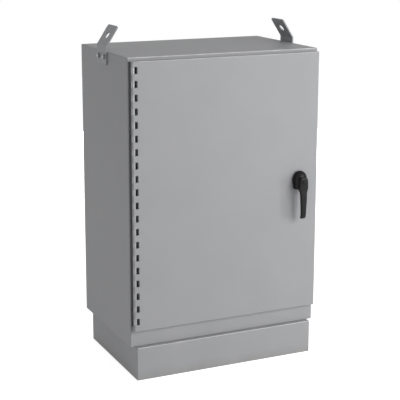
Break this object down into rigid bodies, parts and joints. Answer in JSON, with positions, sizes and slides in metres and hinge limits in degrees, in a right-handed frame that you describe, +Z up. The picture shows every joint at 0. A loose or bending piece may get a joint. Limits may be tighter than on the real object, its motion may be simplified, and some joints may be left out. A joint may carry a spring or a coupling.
{
  "type": "fiber optic cabinet",
  "caption": "Free-standing grey steel cabinet for fibre optic gear: a hinged door with a black latch handle, on a plinth, with two lifting eyes.",
  "frame": {"origin": "centre of the four anchor bolt holes, on the floor under the plinth", "axes": "+X to the right along the front, the door faces -Y, +Z up"},
  "size_m": [0.8288, 0.578, 1.3458],
  "materials": {
    "grey_enamel": "satin grey baked enamel on folded steel sheet",
    "eye_plate": "satin grey paint on flat steel bar",
    "zinc_steel": "bright zinc plated steel",
    "zinc_sheet": "zinc plated sheet steel",
    "white_enamel": "gloss white enamel on sheet steel",
    "panel_black": "fine textured black powder coat",
    "adapter_blue": "moulded blue plastic",
    "tray_plastic": "moulded pale grey plastic",
    "spool_plastic": "moulded black plastic",
    "earth_copper": "brushed copper bar",
    "post_plastic": "moulded red insulating plastic",
    "gland_plastic": "moulded dark grey plastic",
    "plug_rubber": "black rubber",
    "gasket_foam": "black foam rubber",
    "handle_black": "satin black coated casting",
    "roller_nylon": "natural nylon"
  },
  "bodies": {
    "cabinet": {"cabinet_body": "grey_enamel", "plinth": "grey_enamel", "plinth_bolts": "zinc_steel", "hinge_body_leaf": "grey_enamel", "hinge_pin": "zinc_steel", "lifting_eye_left": "eye_plate", "lifting_eye_right": "eye_plate", "lifting_eye_bolts": "zinc_steel", "mounting_panel": "white_enamel", "panel_studs": "zinc_steel", "panel_nuts": "zinc_steel", "cross_bar_lower": "zinc_sheet", "cross_bar_upper": "zinc_sheet", "rack_rail_right": "zinc_sheet", "rack_rail_left": "zinc_sheet", "splice_shelf": "panel_black", "tray_stud": "zinc_steel", "earth_bar": "earth_copper", "earth_posts": "post_plastic", "gland_plate": "zinc_sheet", "gland_plate_bolts": "zinc_steel", "cable_gland_left": "gland_plastic", "cable_gland_right": "gland_plastic", "sealing_plugs": "plug_rubber", "patch_panel_1": "panel_black", "patch_panel_2": "panel_black", "patch_panel_3": "panel_black", "adapter_row_1": "adapter_blue", "adapter_row_2": "adapter_blue", "adapter_row_3": "adapter_blue", "splice_tray_1": "tray_plastic", "splice_tray_2": "tray_plastic", "splice_tray_3": "tray_plastic", "splice_tray_4": "tray_plastic", "slack_spool_left_1": "spool_plastic", "spool_arm_left_1": "zinc_sheet", "slack_spool_left_2": "spool_plastic", "spool_arm_left_2": "zinc_sheet", "slack_spool_right_1": "spool_plastic", "spool_arm_right_1": "zinc_sheet", "slack_spool_right_2": "spool_plastic", "spool_arm_right_2": "zinc_sheet"},
    "door": {"door_panel": "grey_enamel", "hinge_door_leaf": "grey_enamel", "door_gasket": "gasket_foam", "door_stiffener": "white_enamel", "handle_collar": "handle_black", "shaft_bushing": "zinc_steel", "rod_guide_upper": "zinc_steel", "rod_guide_lower": "zinc_steel"},
    "handle": {"door_handle": "handle_black", "handle_shaft": "zinc_steel", "latch_cam": "zinc_steel"},
    "upper_rod": {"latch_rod_upper": "zinc_steel", "roller_axle_upper": "zinc_steel"},
    "lower_rod": {"latch_rod_lower": "zinc_steel", "roller_axle_lower": "zinc_steel"},
    "upper_roller": {"latch_roller_upper": "roller_nylon"},
    "lower_roller": {"latch_roller_lower": "roller_nylon"}
  },
  "joints": [
    {"name": "door_hinge", "type": "hinge", "parent": "cabinet", "child": "door", "pos_m": [-0.3845, -0.268, 0.7], "axis": [0, 0, -1], "range_deg": [0, 175]},
    {"name": "handle_turn", "type": "hinge", "parent": "door", "child": "handle", "pos_m": [0.315, -0.275, 0.731], "axis": [0, 1, 0], "range_deg": [0, 90]},
    {"name": "upper_rod_slide", "type": "slide", "parent": "door", "child": "upper_rod", "axis": [0, 0, -1], "range_m": [0, 0.0396]},
    {"name": "lower_rod_slide", "type": "slide", "parent": "door", "child": "lower_rod", "axis": [0, 0, 1], "range_m": [0, 0.0396]},
    {"name": "upper_roller_spin", "type": "hinge", "parent": "upper_rod", "child": "upper_roller", "pos_m": [0.3389, -0.244, 1.216], "axis": [1, 0, 0], "continuous": true},
    {"name": "lower_roller_spin", "type": "hinge", "parent": "lower_rod", "child": "lower_roller", "pos_m": [0.2911, -0.244, 0.218], "axis": [1, 0, 0], "continuous": true}
  ],
  "couplings": [
    {"joint": "upper_rod_slide", "follows": "handle_turn", "m_per_rad": 0.025209},
    {"joint": "lower_rod_slide", "follows": "handle_turn", "m_per_rad": 0.025209}
  ]
}
